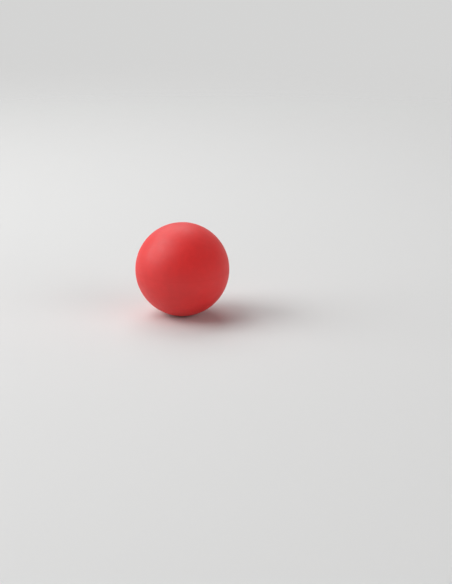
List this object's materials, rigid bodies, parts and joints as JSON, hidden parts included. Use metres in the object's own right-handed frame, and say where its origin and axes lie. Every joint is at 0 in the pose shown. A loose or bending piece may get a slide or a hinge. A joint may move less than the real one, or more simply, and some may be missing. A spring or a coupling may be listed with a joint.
{
  "type": "bouncy ball",
  "caption": "Hollow red rubber bouncy ball: half shells cemented at a flush tongue-and-groove seam, with a self-sealing inflation plug inside and a sealed needle hole at the bottom.",
  "frame": {"origin": "the ball's centre", "axes": "+Z from the needle hole through the centre, square to the seam, which lies in the XY plane; X and Y are any two directions in the seam's plane, because the ball is turned about Z"},
  "size_m": [0.07, 0.07, 0.07],
  "materials": {
    "red_rubber": "matte",
    "red_cement": "satin",
    "dark_rubber": "matte",
    "gum_rubber": "satin"
  },
  "bodies": {
    "root": {"upper_half_shell": "red_rubber", "lower_half_shell": "red_rubber", "seam_bond": "red_cement", "needle_hole_seal": "red_cement", "plug_housing": "dark_rubber", "plug_patch": "dark_rubber", "sealing_plug": "gum_rubber"}
  },
  "joints": []
}
